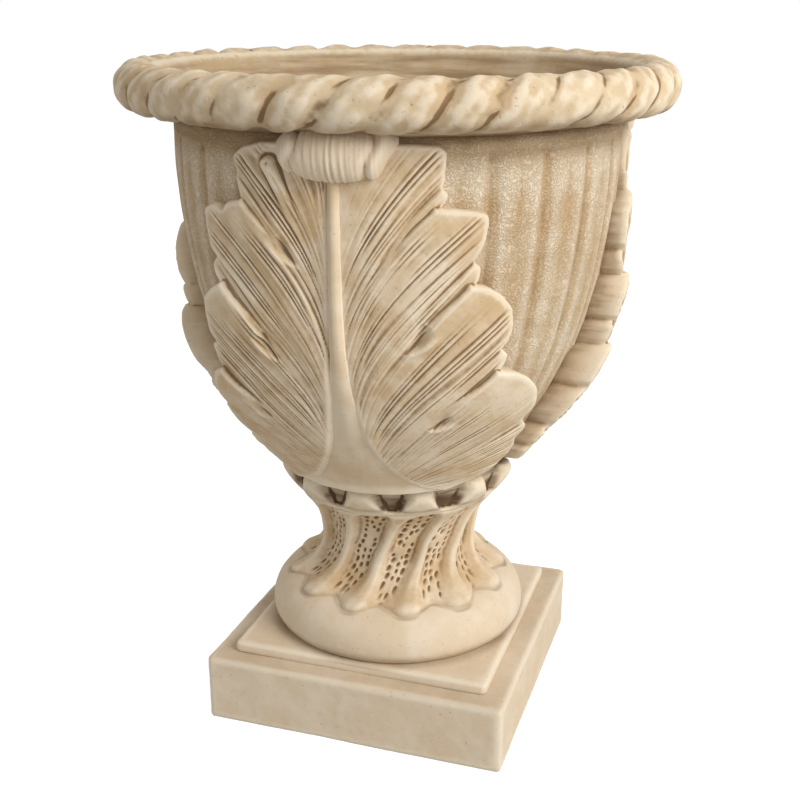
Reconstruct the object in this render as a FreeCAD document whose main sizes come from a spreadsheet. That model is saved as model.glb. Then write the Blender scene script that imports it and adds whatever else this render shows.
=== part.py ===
import FreeCAD, Part
import math
import os

import Sketcher
from FreeCAD import Vector

# A footed garden urn in cast stone: plinth, cushion foot, twisted neck, collar, fluted bowl,
# rope rim and three acanthus leaves. Millimetres, +Z up, origin under the middle of the plinth.
# The plinth's sides lie along X and Y, and the first leaf faces the front, -Y.

SIZES = {
    "plinth_side": 270,
    "plinth_slab_height": 60,
    "plinth_corner_round": 7,
    "plinth_edge_round": 4,
    "plinth_ledge": 19,
    "step_height": 9,
    "step_edge_round": 3,
    "foot_bulge_radius": 117,
    "foot_bulge_rise": 13,
    "foot_lower_round": 16,
    "foot_upper_round": 30,
    "drain_radius": 12,
    "neck_height": 89,
    "neck_tongue_drop": 7,
    "neck_tip_radius": 99,
    "neck_waist_radius": 71.5,
    "neck_top_radius": 93,
    "neck_channel_depth": 7,
    "neck_twist_degrees": 30,
    "neck_turn_degrees": 21.5,
    "rib_count": 12,
    "collar_height": 25,
    "collar_lip_radius": 95,
    "collar_lip_height": 5,
    "collar_boss_radius": 105,
    "collar_boss_rise": 16,
    "collar_scoop_radius": 15,
    "collar_scoop_overhang": 2,
    "collar_scoop_floor": 7,
    "bowl_height": 302,
    "bowl_radius": 185,
    "bowl_wall": 20,
    "bowl_floor": 26,
    "flute_count": 24,
    "flute_width_degrees": 2.4,
    "flute_depth": 2.6,
    "flute_turn_degrees": 2.2,
    "rope_overhang": 45,
    "rope_section_radius": 20,
    "rope_rise": 24,
    "rope_strand_count": 36,
    "rope_groove_depth": 4.4,
    "rope_slant_degrees": 8.5,
    "mouth_flare": 28,
    "mouth_rise": 32,
    "leaf_count": 3,
    "leaf_turn_degrees": 4.4,
    "leaf_relief": 28,
    "stem_top_width": 12,
    "stem_foot_degrees": 66,
    "stem_ridge": 3,
    "scroll_length": 84,
    "scroll_radius": 17,
    "scroll_drop": 14.5,
    "scroll_sag": 5,
    "leaf_seat_bite": 6,
}

# The bowl's outline: share of its height, share of its radius, for the wall and for the hollow.
BOWL_OUTLINE_SHARES = [
    (0.000, 0.497), (0.080, 0.584), (0.180, 0.690), (0.290, 0.789), (0.420, 0.878),
    (0.570, 0.941), (0.740, 0.984), (0.880, 1.000), (1.000, 0.995),
]

# The neck's outline: share of its height, share of the way from the waist to the end radius.
NECK_OUTLINE_SHARES = [
    (0.000, 1.000), (0.075, 0.960), (0.130, 0.640), (0.200, 0.330), (0.310, 0.090),
    (0.420, 0.000), (0.550, 0.035), (0.680, 0.140), (0.800, 0.340), (0.910, 0.680),
    (1.000, 1.000),
]
NECK_WAIST_SHARE = 0.42

# Half widths of a rib's crest and of its root, as shares of the pitch, over the neck's height.
RIB_CREST_SHARES = [(0.00, 0.25), (0.16, 0.14), (0.45, 0.10), (0.85, 0.12), (1.00, 0.22)]
RIB_ROOT_SHARES = [(0.00, 0.34), (0.16, 0.24), (0.45, 0.20), (0.85, 0.22), (1.00, 0.34)]

# The channels' depth over the neck's height: the ribs' tongues stand clear of each other below.
CHANNEL_DEPTH_SHARES = [(0.00, 2.00), (0.12, 1.40), (0.25, 1.00), (0.85, 1.00), (1.00, 0.60)]

# The rope's section runs from under its outer side, over the top, to the mouth. Its grooves
# fade out at both ends, and each strand has a groove and two points on its back.
ROPE_START_DEGREES = -118
ROPE_END_DEGREES = 122
ROPE_GROOVE_SHARES = [0.3, 0.8, 1.0, 1.0, 1.0, 1.0, 1.0, 0.8, 0.5]
STRAND_PHASE_SHARES = [0.00, 0.30, 0.70]

# How far a leaf stands off the wall, as a share of its relief, over the bowl's height.
LEAF_RELIEF_SHARES = [
    (0.00, 0.60), (0.06, 0.72), (0.15, 0.86), (0.28, 1.00), (0.38, 0.97), (0.51, 0.85),
    (0.64, 0.61), (0.77, 0.40), (0.90, 0.26), (1.00, 0.22),
]

# A blade's lobes, from the top one down. Each lies between an upper and a lower edge, with a spine
# between them: the edges' roots on the midrib, as shares of the bowl's height, and the tips of the
# upper edge, the spine and the lower edge, as shares of the turn between two leaves and of the height.
LOBE_SHARES = [
    ((0.62, 0.34), [(0.070, 0.985), (0.200, 0.985), (0.205, 0.865)]),
    ((0.42, 0.24), [(0.180, 0.840), (0.279, 0.815), (0.262, 0.690)]),
    ((0.28, 0.13), [(0.235, 0.660), (0.333, 0.620), (0.325, 0.440)]),
    ((0.16, 0.03), [(0.300, 0.415), (0.450, 0.350), (0.440, 0.110)]),
]

# A lobe leaves the midrib upwards and then bends outwards: the powers of its share along.
LOBE_OUTWARD_POWER = 1.7
LOBE_UPWARD_POWER = 0.8

# A lobe's stations: share along, and share of its height off the wall.
LOBE_STATION_SHARES = [(0.00, 0.62), (0.25, 0.78), (0.50, 0.92), (0.75, 1.00), (0.92, 0.93), (1.00, 0.68)]

# A lobe's section: share of the way from its upper edge to its lower one, share of its height.
LOBE_SECTION_SHARES = [(0.00, 0.70), (0.20, 0.92), (0.42, 1.00), (0.58, 1.00), (0.80, 0.92), (1.00, 0.66)]

# The stem's half width, as a share of the way from its top's to its foot's, and its height as a
# share of the leaf's relief, over the bowl's height.
STEM_SHARES = [
    (0.020, 1.00, 0.98), (0.055, 0.66, 0.95), (0.110, 0.34, 0.88), (0.200, 0.13, 0.80),
    (0.330, 0.05, 0.76), (0.520, 0.01, 0.74), (0.780, 0.00, 0.74), (0.930, 0.00, 0.80),
]
STEM_SECTION_SHARES = [(-1.00, 0.0), (-0.45, 0.7), (0.00, 1.0), (0.45, 0.7), (1.00, 0.0)]

# The scroll's section radius over its half length, and the sides of its section.
SCROLL_RADIUS_SHARES = [
    (-1.00, 0.42), (-0.80, 0.78), (-0.45, 0.97), (0.00, 1.00), (0.45, 0.97), (0.80, 0.78), (1.00, 0.42),
]
SCROLL_SIDES = 10

doc = FreeCAD.newDocument("GardenUrn")
sheet = doc.addObject("Spreadsheet::Sheet", "Sizes")
for row, (alias, number) in enumerate(SIZES.items(), start=1):
    sheet.set(f"A{row}", alias)
    sheet.set(f"B{row}", str(number))
    sheet.setAlias(f"B{row}", alias)
doc.recompute()


def size(alias):
    return float(sheet.get(alias))


def value(expression):
    """The number that an expression on the sheet gives."""
    return float(sheet.evalExpression(expression))


# Where each member stands, from the ground up.
STEP_BASE = "Sizes.plinth_slab_height"
FOOT_BASE = STEP_BASE + " + Sizes.step_height"
NECK_BASE = FOOT_BASE + " + Sizes.foot_bulge_rise + Sizes.foot_upper_round"
COLLAR_BASE = NECK_BASE + " + Sizes.neck_height"
BOWL_BASE = COLLAR_BASE + " + Sizes.collar_height"
RIM_BASE = BOWL_BASE + " + Sizes.bowl_height"

neck_base = value(NECK_BASE)
bowl_base = value(BOWL_BASE)
rim_base = value(RIM_BASE)
facet_join = size("flute_depth") / 1000


def share_at(table, place):
    """A table's value at a place, in a straight line between its rows."""
    for lower, upper in zip(table, table[1:]):
        if place <= upper[0]:
            part = max(place - lower[0], 0) / (upper[0] - lower[0])
            return lower[1] + (upper[1] - lower[1]) * part
    return table[-1][1]


def polar(radius, degrees, height):
    """A point by its distance from the axis, its turn from the front towards +X, and its height."""
    turn = math.radians(degrees)
    return Vector(radius * math.sin(turn), -radius * math.cos(turn), height)


def add_piece(label, shape, turn_degrees=0):
    piece = doc.addObject("Part::Feature", label)
    piece.Label = label
    piece.Shape = shape
    piece.Placement = FreeCAD.Placement(Vector(), FreeCAD.Rotation(Vector(0, 0, 1), turn_degrees))
    return piece


def flat_loft(rings):
    """A solid through level rings that differ only in scale, so that its sides are flat."""
    return Part.makeLoft([Part.makePolygon(ring + ring[:1]) for ring in rings], True, True)


def carved_loft(rings, closed=False):
    """A solid through rings of points, in flat facets, with end caps unless the rings close."""
    count = len(rings[0])
    points = [point for ring in rings for point in ring]
    facets = []
    for span in range(len(rings) if closed else len(rings) - 1):
        here = span * count
        there = (span + 1) % len(rings) * count
        for corner in range(count):
            after = (corner + 1) % count
            facets.append((here + corner, here + after, there + after))
            facets.append((here + corner, there + after, there + corner))
    for here, last in [] if closed else [(0, False), ((len(rings) - 1) * count, True)]:
        middle = len(points)
        points.append(sum(points[here:here + count], Vector()) / count)
        for corner in range(count):
            edge = (here + corner, here + (corner + 1) % count)
            facets.append((middle, *edge) if last else (middle, *reversed(edge)))
    skin = Part.Shape()
    skin.makeShapeFromMesh((points, facets), facet_join)
    solid = Part.Solid(Part.Shell(skin.Faces))
    if solid.Volume < 0:
        solid.reverse()
    return solid


def largest(shape):
    return max(shape.Solids, key=lambda solid: solid.Volume)


def new_body(label, base=None):
    body = doc.addObject("PartDesign::Body", label)
    body.Label = label
    if base:
        body.setExpression(".Placement.Base.z", base)
    return body


def new_sketch(body, name, role):
    """A sketch on one of the body's own origin planes."""
    plane = next(item for item in body.Origin.OriginFeatures if item.Role == role)
    sketch = body.newObject("Sketcher::SketchObject", name)
    sketch.AttachmentSupport = [(plane, "")]
    sketch.MapMode = "FlatFace"
    return sketch


def bind(sketch, constraint, expression):
    index = sketch.addConstraint(constraint)
    sketch.setExpression(f"Constraints[{index}]", expression)


def pin(sketch, edge, point, across, up):
    """Hold a point of an edge at the distances from the origin that the sheet gives."""
    for kind, expression, axis in (("DistanceX", across, -2), ("DistanceY", up, -1)):
        if expression == "0":
            sketch.addConstraint(Sketcher.Constraint("PointOnObject", edge, point, axis))
        else:
            bind(sketch, Sketcher.Constraint(kind, -1, 1, edge, point, value(expression)), expression)


def draw_outline(sketch, corners):
    """A closed outline, anticlockwise: each corner's x and y, and the radius of the side after it."""
    places = [Vector(value(across), value(up), 0) for across, up, _ in corners]
    for edge, (_, _, radius) in enumerate(corners):
        start = places[edge]
        end = places[(edge + 1) % len(places)]
        if radius is None:
            sketch.addGeometry(Part.LineSegment(start, end))
            continue
        chord = end - start
        inward = Vector(-chord.y, chord.x, 0).normalize()
        centre = (start + end) / 2 + inward * math.sqrt(value(radius) ** 2 - chord.Length ** 2 / 4)
        angles = [math.atan2(place.y - centre.y, place.x - centre.x) for place in (start, end)]
        circle = Part.Circle(centre, Vector(0, 0, 1), value(radius))
        sketch.addGeometry(Part.ArcOfCircle(circle, *angles))
    for edge, (across, up, radius) in enumerate(corners):
        sketch.addConstraint(Sketcher.Constraint("Coincident", edge, 2, (edge + 1) % len(corners), 1))
        pin(sketch, edge, 1, across, up)
        if radius is not None:
            bind(sketch, Sketcher.Constraint("Radius", edge, value(radius)), radius)


def draw_circle(sketch, radius, across="0", up="0"):
    edge = sketch.addGeometry(Part.Circle(Vector(value(across), value(up), 0), Vector(0, 0, 1), value(radius)))
    bind(sketch, Sketcher.Constraint("Radius", edge, value(radius)), radius)
    pin(sketch, edge, 3, across, up)


def add_revolution(body, sketch):
    turned = body.newObject("PartDesign::Revolution", sketch.Name + "_turned")
    turned.Profile = sketch
    turned.ReferenceAxis = (sketch, ["V_Axis"])
    turned.Angle = 360
    doc.recompute()
    return turned


def add_fillet(body, base, name, radius, chosen):
    """Round the outer edges of the base feature that the test chooses, and leave the drain's."""
    edges = []
    for number, edge in enumerate(base.Shape.Edges, start=1):
        middle = edge.CenterOfMass
        if math.hypot(middle.x, middle.y) > 2 * size("drain_radius") and chosen(edge.BoundBox):
            edges.append(f"Edge{number}")
    fillet = body.newObject("PartDesign::Fillet", name)
    fillet.Base = (base, edges)
    fillet.setExpression("Radius", radius)
    doc.recompute()
    return fillet


def check_cut(before, after):
    if after.Shape.Volume >= before.Shape.Volume:
        raise RuntimeError(after.Name + " cuts nothing")


def make_plinth_block(label, base, half_side, height, edge_round):
    """A square block with the drain through it, its upright corners and its top edges rounded."""
    body = new_body(label, base)
    sketch = new_sketch(body, label + "_square", "XY_Plane")
    low = f"-({half_side})"
    draw_outline(sketch, [
        (low, low, None), (half_side, low, None), (half_side, half_side, None), (low, half_side, None),
    ])
    draw_circle(sketch, "Sizes.drain_radius")
    pad = body.newObject("PartDesign::Pad", label + "_pad")
    pad.Profile = sketch
    pad.setExpression("Length", height)
    doc.recompute()
    middle = value(height) / 2
    corners = add_fillet(body, pad, label + "_corners", "Sizes.plinth_corner_round",
                         lambda box: box.ZLength > middle)
    add_fillet(body, corners, label + "_edges", edge_round, lambda box: box.ZMin > middle)
    return body


def make_foot():
    """The plain cushion moulding, turned from two rounds that meet where it is widest."""
    body = new_body("foot_cushion", FOOT_BASE)
    sketch = new_sketch(body, "cushion_profile", "XZ_Plane")
    seat = ("Sizes.foot_bulge_radius - Sizes.foot_lower_round"
            " + sqrt(Sizes.foot_lower_round ^ 2 - Sizes.foot_bulge_rise ^ 2)")
    top = "Sizes.foot_bulge_rise + Sizes.foot_upper_round"
    draw_outline(sketch, [
        ("Sizes.drain_radius", "0", None),
        (seat, "0", "Sizes.foot_lower_round"),
        ("Sizes.foot_bulge_radius", "Sizes.foot_bulge_rise", "Sizes.foot_upper_round"),
        ("Sizes.foot_bulge_radius - Sizes.foot_upper_round", top, None),
        ("Sizes.drain_radius", top, None),
    ])
    add_revolution(body, sketch)
    return body


def make_neck(foot):
    """Twelve ribs that twist round a waist, and end below in tongues that lie on the foot."""
    pitch = 360 / size("rib_count")
    waist = size("neck_waist_radius")
    bottom = neck_base - size("neck_tongue_drop")
    height = size("neck_height") + size("neck_tongue_drop")
    rings = []
    for up, spread in NECK_OUTLINE_SHARES:
        end_radius = size("neck_tip_radius" if up < NECK_WAIST_SHARE else "neck_top_radius")
        crest = waist + (end_radius - waist) * spread
        channel = crest - size("neck_channel_depth") * share_at(CHANNEL_DEPTH_SHARES, up)
        turn = size("neck_turn_degrees") + size("neck_twist_degrees") * up
        crest_half = share_at(RIB_CREST_SHARES, up) * pitch
        root_half = share_at(RIB_ROOT_SHARES, up) * pitch
        section = ((channel, -root_half), (crest, -crest_half), (crest, crest_half), (channel, root_half))
        rings.append([
            polar(radius, turn + rib * pitch + offset, bottom + height * up)
            for rib in range(int(size("rib_count"))) for radius, offset in section
        ])
    drain = Part.makeCylinder(size("drain_radius"), height, Vector(0, 0, bottom))
    return add_piece("twisted_neck", largest(carved_loft(rings).cut([drain, foot.Shape])))


def make_collar():
    """A turned ring whose outside is scooped into bosses, one for each rib."""
    body = new_body("collar", COLLAR_BASE)
    sketch = new_sketch(body, "collar_profile", "XZ_Plane")
    draw_outline(sketch, [
        ("Sizes.drain_radius", "0", None),
        ("Sizes.neck_top_radius", "0", None),
        ("Sizes.collar_lip_radius", "Sizes.collar_lip_height", None),
        ("Sizes.collar_boss_radius", "Sizes.collar_boss_rise", None),
        ("Sizes.collar_boss_radius", "Sizes.collar_height", None),
        ("Sizes.drain_radius", "Sizes.collar_height", None),
    ])
    turned = add_revolution(body, sketch)
    scoop = new_sketch(body, "scoop_circle", "XY_Plane")
    scoop.setExpression(".AttachmentOffset.Base.z", "Sizes.collar_scoop_floor")
    reach = "(Sizes.collar_boss_radius + Sizes.collar_scoop_overhang)"
    draw_circle(scoop, "Sizes.collar_scoop_radius",
                reach + " * sin(180deg / Sizes.rib_count)", "-" + reach + " * cos(180deg / Sizes.rib_count)")
    pocket = body.newObject("PartDesign::Pocket", "scoop")
    pocket.Profile = scoop
    pocket.Type = "ThroughAll"
    pocket.Reversed = True
    doc.recompute()
    check_cut(turned, pocket)
    pattern = body.newObject("PartDesign::PolarPattern", "scoops")
    pattern.Originals = [pocket]
    pattern.Axis = (scoop, ["N_Axis"])
    pattern.Angle = 360
    pattern.setExpression("Occurrences", "Sizes.rib_count")
    body.Tip = pattern
    doc.recompute()
    check_cut(pocket, pattern)
    return body


def wall_radius(up):
    """The bowl's outer radius at a share of its height."""
    return size("bowl_radius") * share_at(BOWL_OUTLINE_SHARES, up)


def panel_ring(radius, height, fluted):
    """A level of the bowl's outside: each flute's edges and panel's middle, and its bottom too."""
    pitch = 360 / size("flute_count")
    half = size("flute_width_degrees") / 2
    corners = [(radius, half), (radius, pitch / 2), (radius, pitch - half)]
    if fluted:
        corners.insert(0, (radius * (1 - size("flute_depth") / size("bowl_radius")), 0))
    first = size("flute_turn_degrees") + pitch / 2
    return [
        polar(reach, first + flute * pitch + offset, height)
        for flute in range(int(size("flute_count"))) for reach, offset in corners
    ]


def make_wall(fluted):
    """The bowl's outside as a solid, with its flutes or with them bridged."""
    return flat_loft([
        panel_ring(size("bowl_radius") * across, bowl_base + size("bowl_height") * up, fluted)
        for up, across in BOWL_OUTLINE_SHARES
    ])


def make_bowl():
    """The fluted shell: its hollow has the wall's outline over the floor, and a drain through it."""
    floor = bowl_base + size("bowl_floor")
    depth = rim_base - floor
    sides = int(size("flute_count")) * 2
    hollow = flat_loft([
        [polar((size("bowl_radius") - size("bowl_wall")) * across, 360 * side / sides, floor + depth * up)
         for side in range(sides)]
        for up, across in BOWL_OUTLINE_SHARES
    ])
    drain = Part.makeCylinder(size("drain_radius"), size("bowl_floor"), Vector(0, 0, bowl_base))
    return add_piece("bowl_shell", make_wall(fluted=True).cut(hollow).cut(drain))


def make_rim():
    """The rope: strands that slant round the section, on a seat as wide as the bowl's wall."""
    top_share = BOWL_OUTLINE_SHARES[-1][1]
    seat_outer = size("bowl_radius") * top_share
    seat_inner = (size("bowl_radius") - size("bowl_wall")) * top_share
    section = size("rope_section_radius")
    middle = size("bowl_radius") + size("rope_overhang") - section
    mouth = size("bowl_radius") - size("bowl_wall") + size("mouth_flare")
    pitch = 360 / size("rope_strand_count")
    sweep = ROPE_END_DEGREES - ROPE_START_DEGREES
    rings = []
    for strand in range(int(size("rope_strand_count"))):
        for phase in STRAND_PHASE_SHARES:
            turn = (strand + phase) * pitch
            ring = [polar(seat_inner, turn, rim_base), polar(seat_outer, turn, rim_base)]
            for step, fade in enumerate(ROPE_GROOVE_SHARES):
                along = step / (len(ROPE_GROOVE_SHARES) - 1) * sweep
                angle = math.radians(ROPE_START_DEGREES + along)
                reach = section - (size("rope_groove_depth") * fade if phase == 0 else 0)
                slant = size("rope_slant_degrees") * along / 180
                ring.append(polar(middle + reach * math.cos(angle), turn + slant,
                                  rim_base + size("rope_rise") + reach * math.sin(angle)))
            ring.append(polar(mouth, turn + slant, rim_base + size("mouth_rise")))
            rings.append(ring)
    return add_piece("rope_rim", carved_loft(rings, closed=True))


def leaf_point(turn_degrees, up, relief_share, ridge=0):
    """A point on a leaf: its turn from the midrib, its height share, and its height off the wall."""
    relief = size("leaf_relief") * share_at(LEAF_RELIEF_SHARES, up) * relief_share
    turn = size("leaf_turn_degrees") + turn_degrees
    return polar(wall_radius(up) + relief + ridge, turn, bowl_base + size("bowl_height") * up)


def leaf_seat_point(turn_degrees, up):
    """A point as far inside the wall as the leaf's back starts before the wall trims it."""
    turn = size("leaf_turn_degrees") + turn_degrees
    height = bowl_base + size("bowl_height") * up
    return polar(wall_radius(up) - size("leaf_seat_bite"), turn, height)


def lobe_place(roots, tips, across, along):
    """A place on a lobe: its share of the turn between two leaves, and of the bowl's height."""
    half, rest = (0, across * 2) if across <= 1 / 2 else (1, across * 2 - 1)
    turn, height = [tips[half][axis] * (1 - rest) + tips[half + 1][axis] * rest for axis in (0, 1)]
    root = roots[0] * (1 - across) + roots[1] * across
    return turn * along ** LOBE_OUTWARD_POWER, root + (height - root) * along ** LOBE_UPWARD_POWER


def make_lobe(side, roots, tips):
    """One lobe: a ridge that fans out from the midrib and ends in a blunt tip."""
    span = 360 / size("leaf_count")
    rings = []
    for along, rise in LOBE_STATION_SHARES:
        places = [(lobe_place(roots, tips, across, along), lift) for across, lift in LOBE_SECTION_SHARES]
        top = [leaf_point(side * turn * span, up, rise * lift) for (turn, up), lift in places]
        back = [leaf_seat_point(side * turn * span, up) for (turn, up), _ in reversed(places)]
        rings.append(top + back)
    return carved_loft(rings)


def make_stem():
    """The midrib: narrow above, with a foot that spreads round the bottom of the bowl."""
    foot_half = size("stem_foot_degrees") / 2
    rings = []
    for up, spread, height in STEM_SHARES:
        top_half = math.degrees(size("stem_top_width") / 2 / wall_radius(up))
        half = top_half + (foot_half - top_half) * spread
        top = [leaf_point(half * across, up, height, size("stem_ridge") * lift)
               for across, lift in STEM_SECTION_SHARES]
        back = [leaf_seat_point(half * across, up) for across, _ in STEM_SECTION_SHARES]
        rings.append(top + back[::-1])
    return carved_loft(rings)


def make_scroll():
    """The leaf's tip, rolled over into a drooping barrel that ends under the rope."""
    rings = []
    for along, share in SCROLL_RADIUS_SHARES:
        reach = size("scroll_radius") * share
        turn = size("leaf_turn_degrees") + math.degrees(along * size("scroll_length") / 2 / wall_radius(1))
        middle = rim_base - size("scroll_drop") - size("scroll_sag") * along ** 2
        ring = []
        for side in range(SCROLL_SIDES):
            angle = 2 * math.pi * (side + 0.5) / SCROLL_SIDES
            height = min(middle + reach * math.sin(angle), rim_base)
            ring.append(polar(wall_radius(1) + reach * math.cos(angle), turn, height))
        rings.append(ring)
    return carved_loft(rings)


def make_half_space(side):
    """The room on one side of the leaf's middle plane, round the whole bowl."""
    reach = size("bowl_radius") + size("rope_overhang")
    box = Part.makeBox(reach, 2 * reach, rim_base, Vector(0 if side > 0 else -reach, -2 * reach, 0))
    box.rotate(Vector(), Vector(0, 0, 1), size("leaf_turn_degrees"))
    return box


def make_leaves():
    """Each leaf's four sprigs, trimmed to the wall and to each other, then copied round the bowl."""
    wall = make_wall(fluted=False)
    stem = make_stem()
    scroll = make_scroll()
    sprigs = {"stem": largest(stem.cut(scroll).cut(wall)), "scroll": largest(scroll.cut(wall))}
    for name, side in (("left_blade", -1), ("right_blade", 1)):
        lobes = [make_lobe(side, roots, tips) for roots, tips in LOBE_SHARES]
        blade = lobes[0].fuse(lobes[1:]).common(make_half_space(side))
        sprigs[name] = largest(blade.cut([wall, stem, scroll]))
    pieces = []
    for leaf in range(int(size("leaf_count"))):
        for name, shape in sprigs.items():
            turn = 360 / size("leaf_count") * leaf
            pieces.append(add_piece(f"leaf_{leaf + 1}_{name}", shape, turn))
    return pieces


def make_urn():
    half_side = "Sizes.plinth_side / 2"
    foot = make_foot()
    return [
        make_plinth_block("plinth_slab", None, half_side, "Sizes.plinth_slab_height",
                          "Sizes.plinth_edge_round"),
        make_plinth_block("plinth_step", STEP_BASE, half_side + " - Sizes.plinth_ledge",
                          "Sizes.step_height", "Sizes.step_edge_round"),
        foot,
        make_neck(foot),
        make_collar(),
        make_bowl(),
        make_rim(),
        *make_leaves(),
    ]


pieces = make_urn()
doc.recompute()
for item in doc.Objects:
    if {"Invalid", "Error"} & set(item.State):
        raise RuntimeError(f"{item.Name}: {item.State}")
for piece in pieces:
    if piece.Shape.isNull() or not piece.Shape.isValid():
        raise RuntimeError(piece.Label + " has no sound shape")

os.makedirs("parts", exist_ok=True)
for piece in pieces:
    piece.Shape.exportStep(f"parts/{piece.Label}.step")
    box = piece.Shape.BoundBox
    spans = " x ".join(f"{length:.1f}" for length in (box.XLength, box.YLength, box.ZLength))
    print(f"{piece.Label}: {len(piece.Shape.Solids)} solid, {len(piece.Shape.Faces)} faces, {spans} mm")
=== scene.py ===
# %% [markdown]
# # A footed garden urn in cast stone
# The urn stands on a square plinth with a cushion foot, a twisted neck and a collar. Its bell-shaped
# bowl is fluted and stippled, three acanthus leaves climb it, and a thick carved rope makes the rim.
# The plain solids are loaded first as a fixed frame. Each is then replaced by a piece that is carved
# in more detail in the same place. Sizes are in millimetres and become metres at the end.

# %% Load the frame
import math

import bpy
import numpy as np
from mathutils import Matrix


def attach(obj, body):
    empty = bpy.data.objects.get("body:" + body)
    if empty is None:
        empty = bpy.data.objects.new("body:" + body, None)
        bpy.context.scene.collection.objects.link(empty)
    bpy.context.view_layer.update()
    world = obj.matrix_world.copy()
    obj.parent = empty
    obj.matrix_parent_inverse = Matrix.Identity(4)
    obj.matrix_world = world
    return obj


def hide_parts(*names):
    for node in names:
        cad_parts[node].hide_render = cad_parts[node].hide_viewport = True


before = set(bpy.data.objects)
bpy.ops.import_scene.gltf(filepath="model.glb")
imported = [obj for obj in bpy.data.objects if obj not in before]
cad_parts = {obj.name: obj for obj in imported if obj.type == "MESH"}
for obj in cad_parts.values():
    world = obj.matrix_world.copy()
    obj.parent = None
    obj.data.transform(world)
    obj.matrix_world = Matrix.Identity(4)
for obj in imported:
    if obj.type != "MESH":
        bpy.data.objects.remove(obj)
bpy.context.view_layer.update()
MM = 0.001

# %% [markdown]
# ## Camera
# The photograph looks a little down on the urn from 1.02 m away, so the near corner of the plinth
# spreads and the rim shows its inside. A 54 mm lens on a 36 mm sensor gives the same perspective.

# %% Place the camera
camera_data = bpy.data.cameras.new("urn_camera")
camera_data.lens = 54
camera_data.sensor_width = 36
camera = bpy.data.objects.new("urn_camera", camera_data)
camera.location = (0.3223, -0.9688, 0.628)
camera.rotation_euler = (math.radians(90 - 19.15), 0, math.radians(18.4 - 0.10))
bpy.context.collection.objects.link(camera)
bpy.context.scene.camera = camera
bpy.context.scene.view_settings.view_transform = "Standard"
print("camera at", tuple(round(place, 3) for place in camera.location))

# %% [markdown]
# ## Tools of the workshop
# Every round member of the urn is turned first and carved afterwards. The turning is Blender's screw
# modifier, which sweeps a closed profile round the axis. The carving moves points in code, by their
# turn round the axis, their distance from it and their height, because a chisel's ribs and scoops
# follow those directions.

# %% Handle pieces and their meshes
def deselect_all():
    bpy.ops.object.select_all(action="DESELECT")


def pick(piece):
    """Select this piece alone."""
    deselect_all()
    bpy.context.view_layer.objects.active = piece
    piece.select_set(True)


def name_piece(name):
    """Name the piece that was just added."""
    piece = bpy.context.object
    piece.name = piece.data.name = name
    return piece


def apply_modifier(piece, kind, **settings):
    pick(piece)
    modifier = piece.modifiers.new(kind.lower(), kind)
    for key, value in settings.items():
        setattr(modifier, key, value)
    bpy.ops.object.modifier_apply(modifier=modifier.name)


def edit_all(action="SELECT"):
    """Enter edit mode with the whole mesh selected, or nothing of it."""
    bpy.ops.object.mode_set(mode="EDIT")
    bpy.ops.mesh.select_all(action=action)


def leave_edit():
    bpy.ops.object.mode_set(mode="OBJECT")


def edit_chosen(kind, parts, chosen):
    """Enter edit mode with only the chosen edges or faces selected."""
    edit_all("DESELECT")
    bpy.ops.mesh.select_mode(type=kind)
    leave_edit()
    parts.foreach_set("select", chosen)
    bpy.ops.object.mode_set(mode="EDIT")


def read(parts, key, width, kind=float):
    """A value of every point, edge or face, as a row of the given width for each."""
    values = np.empty(len(parts) * width, kind)
    parts.foreach_get(key, values)
    return values.reshape(-1, width)


def read_points(piece):
    """The piece's points in millimetres."""
    return read(piece.data.vertices, "co", 3) / MM


def write_points(piece, places):
    piece.data.vertices.foreach_set("co", (places * MM).ravel())
    piece.data.update()


print("handling tools ready")


# %% Turn and carve
def spaced(corners, spacing):
    """Points along a line through the corners, a spacing apart at most."""
    corners = np.array(corners, float)
    line = [corners[0]]
    for start, end in zip(corners, corners[1:]):
        count = max(1, math.ceil(np.linalg.norm(end - start) / spacing))
        line += [start + (end - start) * step / count for step in range(1, count + 1)]
    return np.array(line)


def soften(line, rounds, closed=True):
    """Round the corners of a line, as wear does."""
    line = line.copy()
    for _ in range(rounds):
        middle = (np.roll(line, 1, 0) + np.roll(line, -1, 0)) / 2
        if not closed:
            middle[0], middle[-1] = line[0], line[-1]
        line = (line + middle) / 2
    return line


def arc(across, up, radius, start, end, count):
    angles = np.radians(np.linspace(start, end, count))
    return [(across + radius * math.cos(angle), up + radius * math.sin(angle)) for angle in angles]


def drained_profile(bottom, outside, top):
    """A closed profile: from the drain along the bottom, up the outside, and back along the top."""
    corners = [top, (DRAIN, top[1]), (DRAIN, bottom[1])]
    return np.concatenate([spaced([corners[2], bottom], 6)[:-1], outside, spaced(corners, 6)[1:-1]])


def turn_blank(name, profile, steps):
    """Turn a closed profile of distances from the axis and heights once round."""
    deselect_all()
    bpy.ops.mesh.primitive_circle_add(vertices=len(profile), fill_type="NOTHING")
    piece = name_piece(name)
    write_points(piece, np.stack([0 * profile[:, 0], -profile[:, 0], profile[:, 1]], axis=1))
    apply_modifier(piece, "SCREW", steps=steps, render_steps=steps, use_merge_vertices=True,
                   merge_threshold=0.00002)
    return piece


def polar(turn, reach, height):
    """Places by their turn in degrees from the front towards +X."""
    angle = np.radians(turn)
    return np.stack([reach * np.sin(angle), -reach * np.cos(angle), height + reach * 0], axis=1)


def read_polar(piece):
    """Each point's turn round the axis, its distance from it and its height."""
    across, back, height = read_points(piece).T
    return np.degrees(np.arctan2(across, -back)), np.hypot(across, back), height


def carve(piece, shape):
    """Move every point by a rule that takes and gives turn, reach and height."""
    write_points(piece, polar(*shape(*read_polar(piece))))


def keep_between(piece, low, high):
    """Plane off what stands below or above two heights."""
    places = read_points(piece)
    places[:, 2] = np.clip(places[:, 2], low, high)
    write_points(piece, places)


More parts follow.
